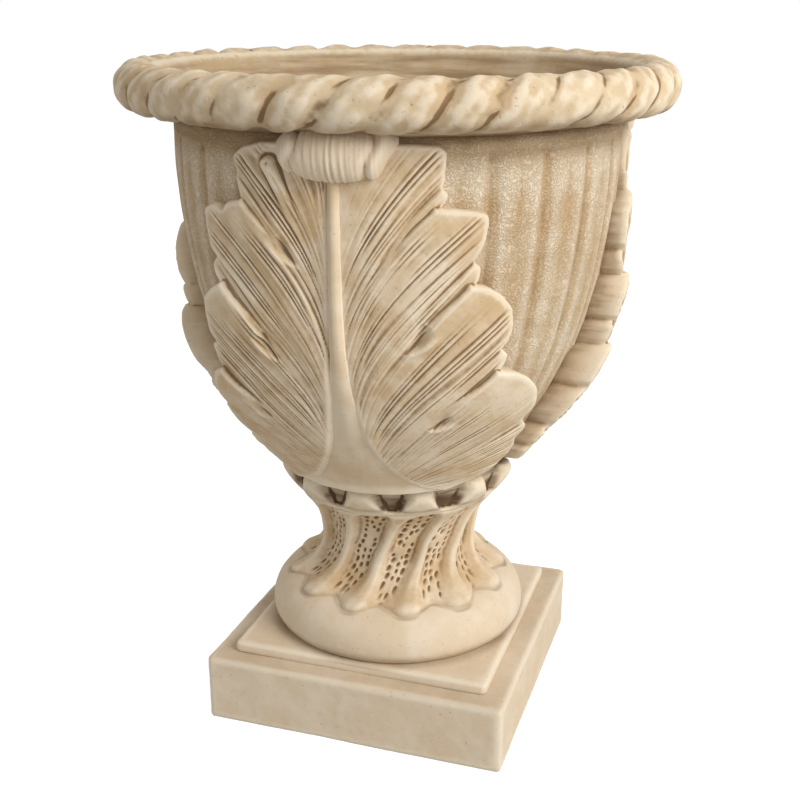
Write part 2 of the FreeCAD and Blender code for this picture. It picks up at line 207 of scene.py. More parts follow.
def wave(across, up, seed, size):
    """A smooth unevenness between about -1 and 1, with lumps of the given size."""
    random = np.random.default_rng(seed)
    total = np.zeros(np.broadcast(across, up).shape)
    for _ in range(7):
        heading = random.uniform(0, 2 * np.pi)
        rate = 2 * np.pi / (size * random.uniform(1.2, 2.8))
        along = across * np.cos(heading) + up * np.sin(heading)
        total = total + np.sin(rate * along + random.uniform(0, 7))
    return total / 3.2


def ease(low, high, value):
    """Ease from 0 where the value is low to 1 where it is high."""
    part = np.clip((value - low) / (high - low), 0, 1)
    return part * part * (3 - 2 * part)


def bell(value, width):
    """1 where the value is 0, and near 0 beyond twice the width."""
    return np.exp(-(value / width) ** 2)


def from_nearest(place):
    """How far each place lies from the nearest whole number, as in the middle of a rib."""
    return np.abs(place - np.floor(place + 0.5))


def smooth_line(places, values, at, blur):
    """A table's values with its corners rounded."""
    shifts = np.linspace(-1, 1, 7)
    return sum(np.interp(at + blur * shift, places, values) for shift in shifts) / len(shifts)


print("turning and carving tools ready")

# %% [markdown]
# Weathering comes last on each piece. Procedural clouds push the surface in and out by a fraction of
# a millimetre, as sand and frost do, and the same modifier at a larger size makes it hand-worked. The
# material darkens hollows with grime and painted shade, so each point also learns how far it lies
# below its surroundings.

# %% Wear a piece and mark its hollows
FINE_ROUNDS, WIDE_ROUNDS = 4, 50


def wear(piece, *clouds):
    """Dent the surface by clouds, each given as the size of its lumps and its whole depth."""
    for lump_size, depth in clouds:
        texture = bpy.data.textures.new(f"{piece.name}_wear", "CLOUDS")
        texture.noise_scale = lump_size * MM
        apply_modifier(piece, "DISPLACE", texture=texture, texture_coords="LOCAL", strength=depth * MM)


def store(piece, name, values):
    """Keep a value for each point, which the stone's material reads by its name."""
    piece.data.attributes.new(name, "FLOAT", "POINT").data.foreach_set("value", values)


def mark_hollows(piece):
    """Store how far each point lies below the mean of its near and of its wide surroundings."""
    places = read_points(piece)
    first, second = read(piece.data.edges, "vertices", 2, int).T
    ends, others = np.concatenate([first, second]), np.concatenate([second, first])
    count = np.bincount(ends, minlength=len(places)) + 1
    normals = read(piece.data.vertex_normals, "vector", 3)
    softened = places.copy()
    for rounds_done in range(1, WIDE_ROUNDS + 1):
        for axis in range(3):
            column = softened[:, axis]
            total = np.bincount(ends, weights=column[others], minlength=len(places))
            softened[:, axis] = (total + column) / count
        if rounds_done in (FINE_ROUNDS, WIDE_ROUNDS):
            name = "fine_hollow" if rounds_done == FINE_ROUNDS else "wide_hollow"
            store(piece, name, ((softened - places) * normals).sum(1))


def finish_piece(piece, node, stone, shade_and_grime_rule=lambda turn, reach, height: 0 * turn):
    """Give a finished piece its finish, its body and the solid that it stands for."""
    pick(piece)
    edit_all()
    bpy.ops.mesh.normals_make_consistent(inside=False)
    leave_edit()
    bpy.ops.object.shade_smooth()
    mark_hollows(piece)
    # Painted shade and grime, from each piece's own rule, kept for the stone's material
    store(piece, "shade_and_grime", np.clip(shade_and_grime_rule(*read_polar(piece)), 0, 1))
    piece.data.materials.append(stones[stone])
    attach(piece, "root")
    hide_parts(node)
    print(piece.name, "faces:", len(piece.data.polygons))


print("wear and hollows ready")

# %% [markdown]
# ## Stone
# The stone is a warm beige cast mix. Raised and rubbed places are pale, large clouds of tan run over
# it, and brown grime with painted shade lies in the hollows. Painted shade also darkens the recesses
# and undersides that each piece names. One node group makes these and gives a colour and a height.
# Each member's material sets its own strengths, so that the neck is browner than the plinth.

# %% Build the stone group, with its weathering and painted shade
def srgb(*parts):
    """A colour as seen on a screen, from 0 to 255, as the shader's linear numbers."""
    return (*(((part / 255 + 0.055) / 1.055) ** 2.4 for part in parts), 1)


class Shop:
    """Adds nodes to an emptied tree and links them, with inputs given by name or number."""

    def __init__(self, tree):
        self.tree = tree
        tree.nodes.clear()

    def node(self, kind, inputs=None, **settings):
        node = self.tree.nodes.new(kind)
        for key, value in settings.items():
            setattr(node, key, value)
        for key, value in (inputs or {}).items():
            if isinstance(value, bpy.types.NodeSocket):
                self.tree.links.new(value, node.inputs[key])
            else:
                node.inputs[key].default_value = value
        return node

    def math(self, operation, *values, clamp=False):
        node = self.node("ShaderNodeMath", dict(enumerate(values)), operation=operation, use_clamp=clamp)
        return node.outputs[0]

    def plus(self, first, second):
        return self.math("ADD", first, second)

    def times(self, first, second, clamp=False):
        return self.math("MULTIPLY", first, second, clamp=clamp)

    def stored(self, name):
        return self.node("ShaderNodeAttribute", attribute_name=name).outputs["Fac"]

    def noise(self, vector, scale, detail=4.0, roughness=0.55, distortion=0.0):
        return self.node("ShaderNodeTexNoise", {
            "Vector": vector, "Scale": scale, "Detail": detail, "Roughness": roughness,
            "Distortion": distortion}).outputs["Fac"]

    def between(self, value, low, high, start=0.0, end=1.0):
        inputs = {"Value": value, "From Min": low, "From Max": high, "To Min": start, "To Max": end}
        return self.node("ShaderNodeMapRange", inputs, interpolation_type="SMOOTHSTEP").outputs[0]

    def mix(self, factor, first, second):
        return self.node("ShaderNodeMix", {0: factor, 6: first, 7: second}, data_type="RGBA").outputs[2]


weathering_and_shade = bpy.data.node_groups.new("weathered_and_shaded_stone", "ShaderNodeTree")
# The grime and shade colour paints grime and painted shade alike
GROUP_INPUTS = {"Pale": srgb(221, 203, 176), "Tan": srgb(201, 174, 134), "Grime and shade": srgb(132, 104, 72),
                "Tan share": 0.5, "Grime and shade strength": 1.0, "Grain": 1.0}
for socket_name, start in GROUP_INPUTS.items():
    kind = "NodeSocketFloat" if isinstance(start, float) else "NodeSocketColor"
    socket = weathering_and_shade.interface.new_socket(name=socket_name, in_out="INPUT", socket_type=kind)
    socket.default_value = start
weathering_and_shade.interface.new_socket(name="Color", in_out="OUTPUT", socket_type="NodeSocketColor")
weathering_and_shade.interface.new_socket(name="Height", in_out="OUTPUT", socket_type="NodeSocketFloat")

shop = Shop(weathering_and_shade)
given = shop.node("NodeGroupInput").outputs
object_place = shop.node("ShaderNodeTexCoord").outputs["Object"]
fine_hollow, wide_hollow, shade_and_grime = (shop.stored(name) for name in ("fine_hollow", "wide_hollow", "shade_and_grime"))
cloud = shop.noise(object_place, 17.0, detail=3.0, distortion=0.6)
blotch = shop.noise(object_place, 62.0, detail=5.0, roughness=0.62)
sand = shop.noise(object_place, 900.0, detail=2.0)
speck = shop.noise(object_place, 330.0, detail=2.0)
clouded = shop.between(shop.plus(cloud, shop.times(blotch, 0.5)), 0.52, 0.95)
sheltered = shop.between(wide_hollow, 0.2, 4.5)
tan_mask = shop.times(shop.math("MAXIMUM", clouded, sheltered), given["Tan share"], clamp=True)
stone = shop.mix(tan_mask, given["Pale"], given["Tan"])
stone = shop.mix(shop.between(blotch, 0.56, 0.8, 0.0, 0.35), stone, srgb(214, 198, 174))
# Hollows darken with grime and painted shade, by how deep they lie
deep = shop.plus(shop.times(fine_hollow, 3.4), shop.times(wide_hollow, 0.30))
deep = shop.plus(deep, shop.math("MULTIPLY_ADD", blotch, 0.8, -0.4))
streaks = shop.node("ShaderNodeMapping", {0: object_place, 3: (9, 9, 120)}).outputs[0]
shade_and_grime_streak = shop.noise(streaks, 1.0, detail=4.0)
# Painted shade and grime from each piece's rule, broken into streaks
shade_and_grime_mask = shop.times(shop.between(shade_and_grime_streak, 0.34, 0.66, 0.3, 1.0), shade_and_grime)
grime_and_shade_cover = shop.math("MAXIMUM", shop.between(deep, 0.08, 1.6), shade_and_grime_mask)
grime_and_shade_amount = shop.times(grime_and_shade_cover, given["Grime and shade strength"], clamp=True)
stone = shop.mix(grime_and_shade_amount, stone, given["Grime and shade"])
raised = shop.plus(fine_hollow, shop.times(wide_hollow, 0.15))
# Pale rubbed places are kept off the painted shade and grime
clear_of_shade_and_grime = shop.math("SUBTRACT", 1.0, shade_and_grime, clamp=True)
rubbed = shop.times(shop.between(raised, -0.08, -0.5, 0.0, 0.6), clear_of_shade_and_grime)
stone = shop.mix(rubbed, stone, srgb(232, 219, 196))
speck_mask = shop.times(shop.between(speck, 0.66, 0.76, 0.0, 0.35), given["Grain"], clamp=True)
stone = shop.mix(speck_mask, stone, given["Grime and shade"])
sandy = shop.math("MULTIPLY_ADD", sand, 0.35, shop.times(blotch, 0.8))
pitted = shop.times(shop.between(speck, 0.62, 0.74), -0.5)
height = shop.times(shop.plus(sandy, pitted), given["Grain"])
shop.node("NodeGroupOutput", {"Color": stone, "Height": height})
print("weathered stone nodes:", len(weathering_and_shade.nodes))


# %% Make a stone for each kind of member
def make_stone(name, strengths, colours, extra_height=None, bump=0.35):
    material = bpy.data.materials.new(name)
    material.use_nodes = True
    bench = Shop(material.node_tree)
    inputs = dict(zip(("Tan share", "Grime and shade strength", "Grain"), strengths))
    inputs.update({socket: srgb(*colour) for socket, colour in colours.items()})
    group = bench.node("ShaderNodeGroup", inputs, node_tree=weathering_and_shade)
    color, relief = group.outputs["Color"], group.outputs["Height"]
    if extra_height:
        color, relief = extra_height(bench, color, relief)
    bump_node = bench.node("ShaderNodeBump", {"Height": relief, "Strength": bump, "Distance": 0.001})
    shader = bench.node("ShaderNodeBsdfPrincipled", {
        "Base Color": color, "Roughness": 0.86, "Specular IOR Level": 0.25, "Normal": bump_node.outputs[0]})
    bench.node("ShaderNodeOutputMaterial", {"Surface": shader.outputs[0]})
    material.diffuse_color = srgb(220, 198, 164)
    return material


# Each stone's tan share, strength of grime and painted shade, and grain, and the colours that aren't the
# group's own.
RECIPES = {
    "plinth_stone": ((0.4, 0.85, 0.8), {"Pale": (222, 205, 181)}),
    "neck_stone": ((0.85, 1.0, 0.8), {"Tan": (194, 163, 119)}),
    # The leaves' darker grime and shade colour also paints the shade at the blades' edges
    "leaf_stone": ((1.0, 0.85, 0.8), {"Tan": (196, 167, 127), "Grime and shade": (122, 95, 64)}),
    # The collar's dark grime and shade colour paints the scoops' shade
    "collar_stone": ((0.6, 1.0, 0.8), {"Grime and shade": (92, 70, 48)}),
    "rope_stone": ((0.7, 1.0, 1.3), {"Pale": (207, 187, 156), "Tan": (186, 156, 115)}),
    "stem_stone": ((0.7, 0.8, 0.8), {}),
    "scroll_stone": ((0.4, 0.6, 0.7), {"Pale": (228, 211, 186)}),
}
stones = {name: make_stone(name, *recipe) for name, recipe in RECIPES.items()}
print("stones:", list(stones))


# %% Add the bowl's stippling
def add_stipple(bench, color, relief):
    """Worm-like pits of two or three millimetres, as a fine point tool leaves them, darker inside with grime
    and painted shade.
    """
    place = bench.node("ShaderNodeTexCoord").outputs["Object"]
    bent = bench.node("ShaderNodeTexNoise", {"Vector": place, "Scale": 160.0, "Detail": 1.0}).outputs["Color"]
    warped = bench.node("ShaderNodeMix", {0: 0.008, 4: place, 5: bent}, data_type="VECTOR").outputs[1]
    worm = bench.noise(warped, 500.0, detail=1.0, roughness=0.4)
    ridge = bench.math("ABSOLUTE", bench.math("SUBTRACT", worm, 0.5))
    pit = bench.between(ridge, 0.0, 0.11, 1.0, 0.0)
    # The pits' grime and painted shade
    color = bench.mix(bench.times(pit, 0.34), color, srgb(160, 128, 90))
    return color, bench.math("MULTIPLY_ADD", pit, -0.85, relief)


# The panels' brown grime and shade colour also paints the shade under the rope
PANEL_COLOURS = {"Pale": (208, 186, 153), "Tan": (190, 160, 120), "Grime and shade": (138, 104, 66)}
stones["bowl_panel_stone"] = make_stone("bowl_panel_stone", (0.8, 0.6, 0.6), PANEL_COLOURS, add_stipple, 0.7)
print("stippled:", stones["bowl_panel_stone"].name)

# %% [markdown]
# ## Plinth
# The plinth is two square blocks with soft, knocked edges and a drain hole down the middle. A cube is
# bevelled and drilled, and a voxel remesh then gives it an even skin that wear can dent.

# %% Build the plinth
DRAIN = 12
SLAB_SIDE, SLAB_TOP = 270, 60
STEP_SIDE, STEP_BASE, STEP_TOP = 232, 59.4, 69
FOOT_BASE = 68.6


def make_block(name, side, base, top, corner_round, edge_round):
    deselect_all()
    bpy.ops.mesh.primitive_cube_add(size=1, location=(0, 0, (base + top) / 2 * MM))
    block = name_piece(name)
    block.scale = (side * MM, side * MM, (top - base) * MM)
    bpy.ops.object.transform_apply(location=True, rotation=False, scale=True)
    for upright, width in ((True, corner_round), (False, edge_round)):
        heights = read_points(block)[read(block.data.edges, "vertices", 2, int), 2]
        chosen = np.ptp(heights, axis=1) > 1 if upright else heights.min(axis=1) > top - 0.1
        edit_chosen("EDGE", block.data.edges, chosen)
        bpy.ops.mesh.bevel(offset=width * MM, segments=4)
        leave_edit()
    deselect_all()
    bpy.ops.mesh.primitive_cylinder_add(vertices=64, radius=DRAIN * MM, depth=0.3, location=(0, 0, base * MM))
    drill = name_piece("drill")
    apply_modifier(block, "BOOLEAN", operation="DIFFERENCE", object=drill)
    bpy.data.objects.remove(drill)
    apply_modifier(block, "REMESH", mode="VOXEL", voxel_size=0.002)
    return block


slab = make_block("worn_plinth_slab", SLAB_SIDE, 0, SLAB_TOP, corner_round=4, edge_round=2.2)
wear(slab, (60, 1.4), (9, 0.5))
keep_between(slab, 0, SLAB_TOP + 0.6)
# Painted shade along the slab's top, on the ledge
finish_piece(slab, "plinth_slab", "plinth_stone", shade_and_grime_rule=lambda turn, reach, height:
             0.4 * ease(SLAB_TOP - 3, SLAB_TOP - 0.3, height))
step = make_block("worn_plinth_step", STEP_SIDE, STEP_BASE, STEP_TOP, corner_round=3.5, edge_round=1.8)
wear(step, (45, 0.9), (9, 0.4))
# Painted shade on the step's top round the foot, and along its bottom above the ledge
finish_piece(step, "plinth_step", "plinth_stone", shade_and_grime_rule=lambda turn, reach, height:
             0.7 * ease(124, 114, reach) * (height > STEP_TOP - 3) + 0.5 * ease(64, 60, height))

# %% [markdown]
# ## Foot
# The cushion foot is a plain round moulding, so it is only turned and worn. Its painted shade follows
# the neck's toes, so it gets its finish after the neck.

# %% Turn the foot
foot_profile = spaced([(DRAIN, FOOT_BASE), (110.3, FOOT_BASE)] + arc(101, 82, 16, -50, 0, 9)
                      + arc(87, 82, 30, 5, 90, 24) + [(DRAIN, 112)], 1.6)
foot = turn_blank("turned_foot", soften(foot_profile, 3), 400)
wear(foot, (50, 1.2), (8, 0.35))
print("foot turned:", len(foot.data.polygons))

# %% [markdown]
# ## Neck
# Twelve ribs twist round the waist and end in tongues that lie on the foot. The channels between them
# are drilled in columns of small holes. The blank follows the crests, and the carving sinks the
# channels and then the holes.

# %% Build the neck
NECK_LOW, NECK_HIGH = 105.0, 201.0
NECK_HEIGHT = NECK_HIGH - NECK_LOW
RIB_PITCH, NECK_TURN, NECK_TWIST = 30, 21.5, 30
# A rib with its channel is about so many millimetres wide at the waist.
RIB_WIDTH = 38
# Below this distance from the axis lie the drain and the flat ends, which aren't carved.
CORE = 60
NECK_SHARES = [0, .095, .15, .22, .32, .42, .55, .68, .8, .91, 1]
NECK_REACHES = [101.75, 100.1, 91.3, 81.4, 74.25, 71.5, 72.2525, 74.51, 78.81, 86.12, 93]
RIB_SHARES = [0, .12, .3, .55, .85, 1]
RIB_HALVES = [.23, .20, .14, .11, .125, .15]


def neck_crest(height):
    return smooth_line(NECK_SHARES, NECK_REACHES, (height - NECK_LOW) / NECK_HEIGHT, blur=0.03)


def drill_holes(gap, height, channel):
    """How deep each place of the channels is drilled: three ragged columns of small holes."""
    random = np.random.default_rng(11)
    drilled = np.zeros_like(gap)
    for number in range(int(channel.min()), int(channel.max()) + 1):
        near = channel == number
        for column in (-1, 0, 1):
            level = 117 + random.uniform(0, 5)
            while level < 195:
                here = near & (np.abs(height - level) < 4)
                room = (0.5 - np.interp((level - NECK_LOW) / NECK_HEIGHT, RIB_SHARES, RIB_HALVES)) * RIB_WIDTH
                middle = column * room * 0.5 + random.uniform(-1.6, 1.6)
                size = random.uniform(1.7, 2.8)
                depth = random.uniform(1.8, 3.2) * (random.uniform(0, 1) < 0.9)
                away = np.hypot(gap[here] - middle, (height[here] - level) * 0.85) / size
                drilled[here] = np.maximum(drilled[here], depth * ease(1.4, 0.2, away))
                level += random.uniform(4.8, 7.8)
    return drilled


def carve_neck(turn, reach, height):
    up = np.clip((height - NECK_LOW) / NECK_HEIGHT, 0, 1)
    place = (turn - NECK_TURN - NECK_TWIST * up) / RIB_PITCH + 0.035 * wave(turn * 1.4, height, 5, 30)
    side = from_nearest(place)
    rib_half = np.interp(up, RIB_SHARES, RIB_HALVES)
    sunk = 1 - np.exp(-(side / (rib_half * 1.22)) ** 3)
    arch = NECK_HIGH + 2 - 5 * np.clip((0.5 - side) / 0.3, 0, 1.4) ** 2
    fade = ease(arch + 1, arch - 6, height)
    depth = np.interp(up, [0, .09, .16, .3, .85, 1], [12.5, 13.5, 12, 8.8, 8, 6])
    channel = np.floor(place)
    gap = (place - channel - 0.5) * RIB_WIDTH
    drilled = drill_holes(gap, height, channel) * ease(0.72, 0.95, sunk)
    web = 3.5 * ease(0.3, 0.02, up) * ease(0.5, 0.32, side) * sunk
    return turn, reach - np.where(reach > CORE, (depth * sunk + drilled) * fade - web, 0), height


neck_levels = np.linspace(NECK_LOW, NECK_HIGH, 400)[::6]
crest_line = np.stack([neck_crest(neck_levels), neck_levels], axis=1)
neck_profile = drained_profile((98, NECK_LOW), spaced(crest_line, 1.05), (92, NECK_HIGH))
neck = turn_blank("carved_neck", neck_profile, 528)
carve(neck, carve_neck)
wear(neck, (14, 0.5), (4, 0.25))
# Painted shade along the bottom, under the toes' tips and the channels' ends
finish_piece(neck, "twisted_neck", "neck_stone", shade_and_grime_rule=lambda turn, reach, height:
             0.9 * ease(115, 109, height))


# %% Finish the foot
def around_toes(turn, reach, height):
    """Painted shade on the foot along the outline of the neck's toes, and below, where the foot curves in."""
    level = np.full(turn.shape, NECK_LOW + 3)
    outline = carve_neck(turn, neck_crest(level), level)[1]
    # Painted shadow under the toes' outline, and painted shade under the cushion
    return (0.9 * ease(outline + 3.6, outline + 0.8, reach) * ease(100, 104, height)
            + 0.8 * ease(81, 71, height))


finish_piece(foot, "foot_cushion", "plinth_stone", shade_and_grime_rule=around_toes)

# %% [markdown]
# ## Collar
# The collar is a ring of twelve bosses. Between them, scoops with a pointed bottom go deep under the
# bowl, where shade and dirt collect.

# %% Build the collar
def carve_collar(turn, reach, height):
    place = (turn - 15) / RIB_PITCH + 0.02 * wave(turn, height, 8, 25)
    side = from_nearest(place)
    half = 0.37 * np.clip((height - 203.5) / 17, 0.001, 1) ** 0.55
    sunk = ease(1.12, 0.45, side / half) * ease(203.5, 206.5, height)
    depth = 6 + 6.5 * ease(204, 214, height)
    off_boss = 1 - np.clip(side / 0.5, 0, 1)
    rounded = 3.0 * off_boss ** 1.5 * ease(201, 212, height)
    scallop = 1.6 * off_boss * ease(212, 201, height)
    return turn, reach - np.where(reach > CORE, depth * sunk + rounded * (1 - sunk) + scallop, 0), height


COLLAR_OUTSIDE = [(92, 200), (95.5, 203), (98.5, 207), (102, 212), (105.3, 218), (105.7, 223), (103, 227)]
collar_line = soften(spaced(COLLAR_OUTSIDE, 1.0), 8, closed=False)
collar_profile = drained_profile(COLLAR_OUTSIDE[0], collar_line, COLLAR_OUTSIDE[-1])
collar = turn_blank("carved_collar", collar_profile, 480)
carve(collar, carve_collar)
wear(collar, (16, 0.8), (5, 0.3))
# Grime and painted shade deep in the scoops
finish_piece(collar, "collar", "collar_stone", shade_and_grime_rule=lambda turn, reach, height:
             ease(101, 95, reach) * ease(204.5, 208, height))

# %% [markdown]
# ## Bowl
# The bowl is a bell with 24 soft flutes and a hollow for soil. The wall is turned with its hollow in
# one profile, and the flutes are sunk afterwards. The panels' fine stippling is in the material.

# %% Build the bowl
BOWL_LOW, BOWL_HIGH = 226.0, 528.0
BOWL_REACH, HOLLOW_REACH, HOLLOW_LOW = 185, 165, 252
FLUTE_PITCH = 15
BOWL_SHARES = [0, .08, .18, .29, .42, .57, .74, .88, 1]
BOWL_SPREADS = [.497, .584, .690, .789, .878, .941, .984, 1, .995]


def bowl_line(shares, values, height, low=BOWL_LOW):
    """A table over the bowl's height, from a bottom up to the brim, with its corners rounded."""
    return smooth_line(shares, values, (height - low) / (BOWL_HIGH - low), blur=0.05)


def wall_reach(height):
    """The bowl's outside."""
    return BOWL_REACH * bowl_line(BOWL_SHARES, BOWL_SPREADS, height)


def carve_bowl(turn, reach, height):
    outside = reach > wall_reach(height) - 8
    place = (turn - 9.7) / FLUTE_PITCH
    across = from_nearest(place) * FLUTE_PITCH
    flute = 3.1 * bell(across, 2.1) * ease(526, 512, height)
    panel = 1.1 * (across / 7.5) ** 2
    fade = ease(BOWL_LOW, BOWL_LOW + 12, height)
    return turn, reach - np.where(outside, (flute + panel) * fade, 0), height


bowl_levels = np.linspace(BOWL_LOW, BOWL_HIGH, 57)
inner_levels = np.linspace(BOWL_HIGH, HOLLOW_LOW, 32)
inner_reach = HOLLOW_REACH * bowl_line(BOWL_SHARES, BOWL_SPREADS, inner_levels, HOLLOW_LOW)
wall_line = spaced(np.stack([wall_reach(bowl_levels), bowl_levels], axis=1), 6.0)
hollow_line = spaced(np.stack([inner_reach, inner_levels], axis=1), 9.0)
bowl_profile = drained_profile((90, BOWL_LOW), np.concatenate([wall_line, hollow_line]), (80, HOLLOW_LOW))
bowl = turn_blank("carved_bowl", bowl_profile, 640)
carve(bowl, carve_bowl)
wear(bowl, (40, 0.9))
# Painted shade on the hollow's inner wall and in a band under the rope
finish_piece(bowl, "bowl_shell", "bowl_panel_stone", shade_and_grime_rule=lambda turn, reach, height:
             (reach < wall_reach(height) - 12) + 0.95 * ease(496, 519, height))

# %% [markdown]
# ## Rope rim
# The rim is a rope of 36 thick strands that lean as they pass over it. Its inner side flares down to
# the bowl's hollow. Time has rubbed the grooves shallow in places and cracked them in others, so the
# depth of each groove wanders.

# %% Build the rope rim
ROPE_REACH, ROPE_HEIGHT, ROPE_SECTION = 210.0, 552.0, 19.2
ROPE_START, ROPE_END = -118, 122
STRAND_PITCH, STRAND_LEAN = 10, 11.3


def carve_rope(turn, reach, height):
    """Sink the grooves between columns of the blank, and lean the columns over the rope."""
    angle = np.degrees(np.arctan2(height - ROPE_HEIGHT, reach - ROPE_REACH))
    angle = np.where(angle < -125, angle + 360, angle)

    def uneven(seed, size):
        return wave(turn * 3.6, angle * 0.35, seed, size)

    along = (angle - ROPE_START) / (ROPE_END - ROPE_START)
    on_rope = np.hypot(reach - ROPE_REACH, height - ROPE_HEIGHT) > 17
    fade = np.interp(along, [-0.02, 0.03, .12, .25, .85, .95, 1.02], [0, .3, .8, 1, 1, .6, 0]) * on_rope
    across = turn / STRAND_PITCH - np.floor(turn / STRAND_PITCH)
    groove = 3.3 * ((1 + np.cos(2 * np.pi * across)) / 2) ** 1.6 * (0.8 + 0.35 * uneven(22, 50))
    from_crease = np.abs(np.where(across > 0.5, across - 1, across) - 0.02)
    crease = 1.5 * bell(from_crease, 0.07) * ease(-0.3, 0.7, uneven(24, 26))
    second = 0.25 * np.cos(4 * np.pi * across + 1.2 * uneven(27, 40)) * np.sin(np.pi * across)
    sink = (groove + crease + second + 0.55 * uneven(25, 13)) * fade
    radians = np.radians(angle)
    lean = STRAND_LEAN * np.where(on_rope, np.clip(along, 0, 1), np.clip((height - BOWL_HIGH) / 38, 0, 1))
    lean = lean + 0.7 * uneven(21, 60) * fade
    return turn + lean, reach - sink * np.cos(radians), height - sink * np.sin(radians)


rope_arc = arc(ROPE_REACH, ROPE_HEIGHT, ROPE_SECTION, ROPE_START, ROPE_END, 76)
mouth = [rope_arc[-1], (195, 566), (192, 560), (187, 553), (176, 541), (HOLLOW_REACH, BOWL_HIGH)]
rope_profile = np.concatenate([
    spaced([(HOLLOW_REACH, BOWL_HIGH), (184, BOWL_HIGH)], 4)[:-1],
    spaced([(184, BOWL_HIGH), (194, 531), rope_arc[0]], 2.4)[:-1],
    rope_arc,
    soften(spaced(mouth, 2.6), 4, closed=False)[1:-1],
])
rope = turn_blank("carved_rope_rim", rope_profile, 720)
carve(rope, carve_rope)
wear(rope, (22, 1.1), (6, 0.5))
keep_between(rope, 0, 571.9)
# Painted shade on the mouth's inner flare and along the rope's underside
finish_piece(rope, "rope_rim", "rope_stone", shade_and_grime_rule=lambda turn, reach, height:
             0.85 * ease(197, 190, reach) + 0.75 * ease(544, 533, height))

# %% [markdown]
# ## Acanthus leaves
# Each leaf has a smooth midrib, two blades of four veined lobes, and a tip that rolls over under the
# rope. A blade starts as a flat sheet, cut to its outline. It is thickened, its veins and folds are
# carved as heights, and it is bent round the bowl last. Neighbouring lobes share a line from the
# midrib to the notch between them, so that the veins run on without a gap, and only their outer ends
# lap over each other like shingles.

# %% Set out the lobes
RELIEF = 28
RELIEF_SHARES = [0, .06, .15, .28, .38, .51, .64, .77, .90, 1]
RELIEFS = [.60, .72, .86, 1, .97, .85, .61, .40, .26, .22]
LEAF_COUNT, LEAF_TURN, LEAF_PITCH = 3, 4.4, 120
MM_PER_DEGREE = 2.95
CELL_TURN, CELL_HEIGHT = 0.27, 0.8

# Where the lines between the lobes leave the midrib, as turn and height, and how steeply they start.
ROOTS = [(0.8, 446, .52), (1.8, 360, .56), (5.2, 296, .64), (10, 258, .95), (29, 231, .95)]
# The edge of each lobe from its top inner end to the bottom one. The two blades of a leaf differ.
LOBES = {
    1: [[(1.6, 524), (9, 524), (17, 524), (22.8, 522.5), (24.5, 518), (24.2, 506), (24.1, 497), (23.4, 493.5),
         (24.9, 489.5), (24.6, 485), (22.6, 477)],
        [(21.6, 480), (26, 479), (30.6, 477.5), (33.4, 474.5), (33.6, 468), (33.0, 456), (31.9, 445),
         (30.6, 440.5), (32.3, 436.5), (32.0, 428), (30.0, 419.5)],
        [(29.4, 424.5), (33.2, 423), (36.6, 416.5), (39.4, 406), (40.0, 392), (39.4, 379), (37.9, 373),
         (39.6, 369), (39.2, 361), (37.2, 351)],
        [(36.6, 356.5), (41.5, 354), (45.5, 348), (49.5, 336), (51.5, 318), (50.6, 309), (49.6, 305.5),
         (52.4, 299), (52.6, 289), (51.2, 284), (53.4, 277), (53.8, 264), (52.4, 251), (46.5, 239.5),
         (37.5, 233.5)]],
    -1: [[(1.6, 524), (9, 524), (17, 523), (22.5, 518), (25.4, 511), (24.8, 500), (24.0, 492), (22.9, 482)],
         [(21.8, 481), (26.2, 478), (27.6, 471.5), (31.0, 475.5), (34.2, 470.5), (34.0, 456), (33.2, 442),
          (30.9, 436.5), (33.0, 431), (32.2, 421), (29.8, 413)],
         [(28.8, 417), (32.2, 411), (35.2, 402), (35.8, 388), (35.8, 374), (33.6, 368.5), (36.2, 363),
          (36.0, 348), (34.2, 338)],
         [(33.6, 344), (37.0, 340), (40.0, 327), (41.6, 314), (39.6, 308.5), (43.0, 303), (45.0, 288),
          (45.4, 279), (43.0, 274.5), (47.4, 269), (48.8, 260), (46.6, 256), (49.6, 251.5), (47.6, 244),
          (43.5, 237.5), (37, 233)]],
}
# The sunk eyes at the notches, as turn, height, depth and half length, and each blade's side folds.
EYES = {1: [(18.6, 383, 6.5, 14), (24.8, 312, 6.0, 11), (13.5, 447, 1.6, 10)],
        -1: [(11.0, 446, 4.5, 13), (17.0, 371, 5.0, 13), (24.0, 312, 3.0, 10)]}
NOTCHES = {1: [.80, .72, .70, .45], -1: [.82, .80, .68, .58]}
# How far the lobes sit higher or lower, by the side and the leaf, so that no two leaves are alike.
SETTLES = {(1, 0): 0, (-1, 0): 0, (1, 1): 4, (-1, 1): 15, (1, 2): -5, (-1, 2): 6}
print("lobes on each side:", {side: len(lobes) for side, lobes in LOBES.items()})
print("a cell of the sheet is", round(CELL_TURN * MM_PER_DEGREE, 2), "by", CELL_HEIGHT, "mm")


# %% Work out a lobe's place on the flat sheet
def leaf_relief(height):
    """How far the leaf stands off the wall, in millimetres."""
    return RELIEF * bowl_line(RELIEF_SHARES, RELIEFS, height)


def lobe_edge(corners, count=80, extra=9):
    """Even points along a lobe's rounded edge, with a few more added at both ends."""
    corners = np.array(corners, float)
    steps = np.linalg.norm(np.diff(corners * [MM_PER_DEGREE, 1], axis=0), axis=1)
    lengths = np.concatenate([[0], np.cumsum(steps)])
    places = np.linspace(0, 1, count) * lengths[-1]
    edge = np.stack([np.interp(places, lengths, corners[:, axis]) for axis in (0, 1)], axis=1)
    edge = soften(edge, 2, closed=False)
    before = edge[0] + (edge[0] - edge[3]) / 3 * np.arange(extra, 0, -1)[:, None]
    after = edge[-1] + (edge[-1] - edge[-4]) / 3 * np.arange(1, extra + 1)[:, None]
    shares = np.linspace(-extra / (count - 1), 1 + extra / (count - 1), count + 2 * extra)
    return shares, np.concatenate([before, edge, after]), lengths[-1]


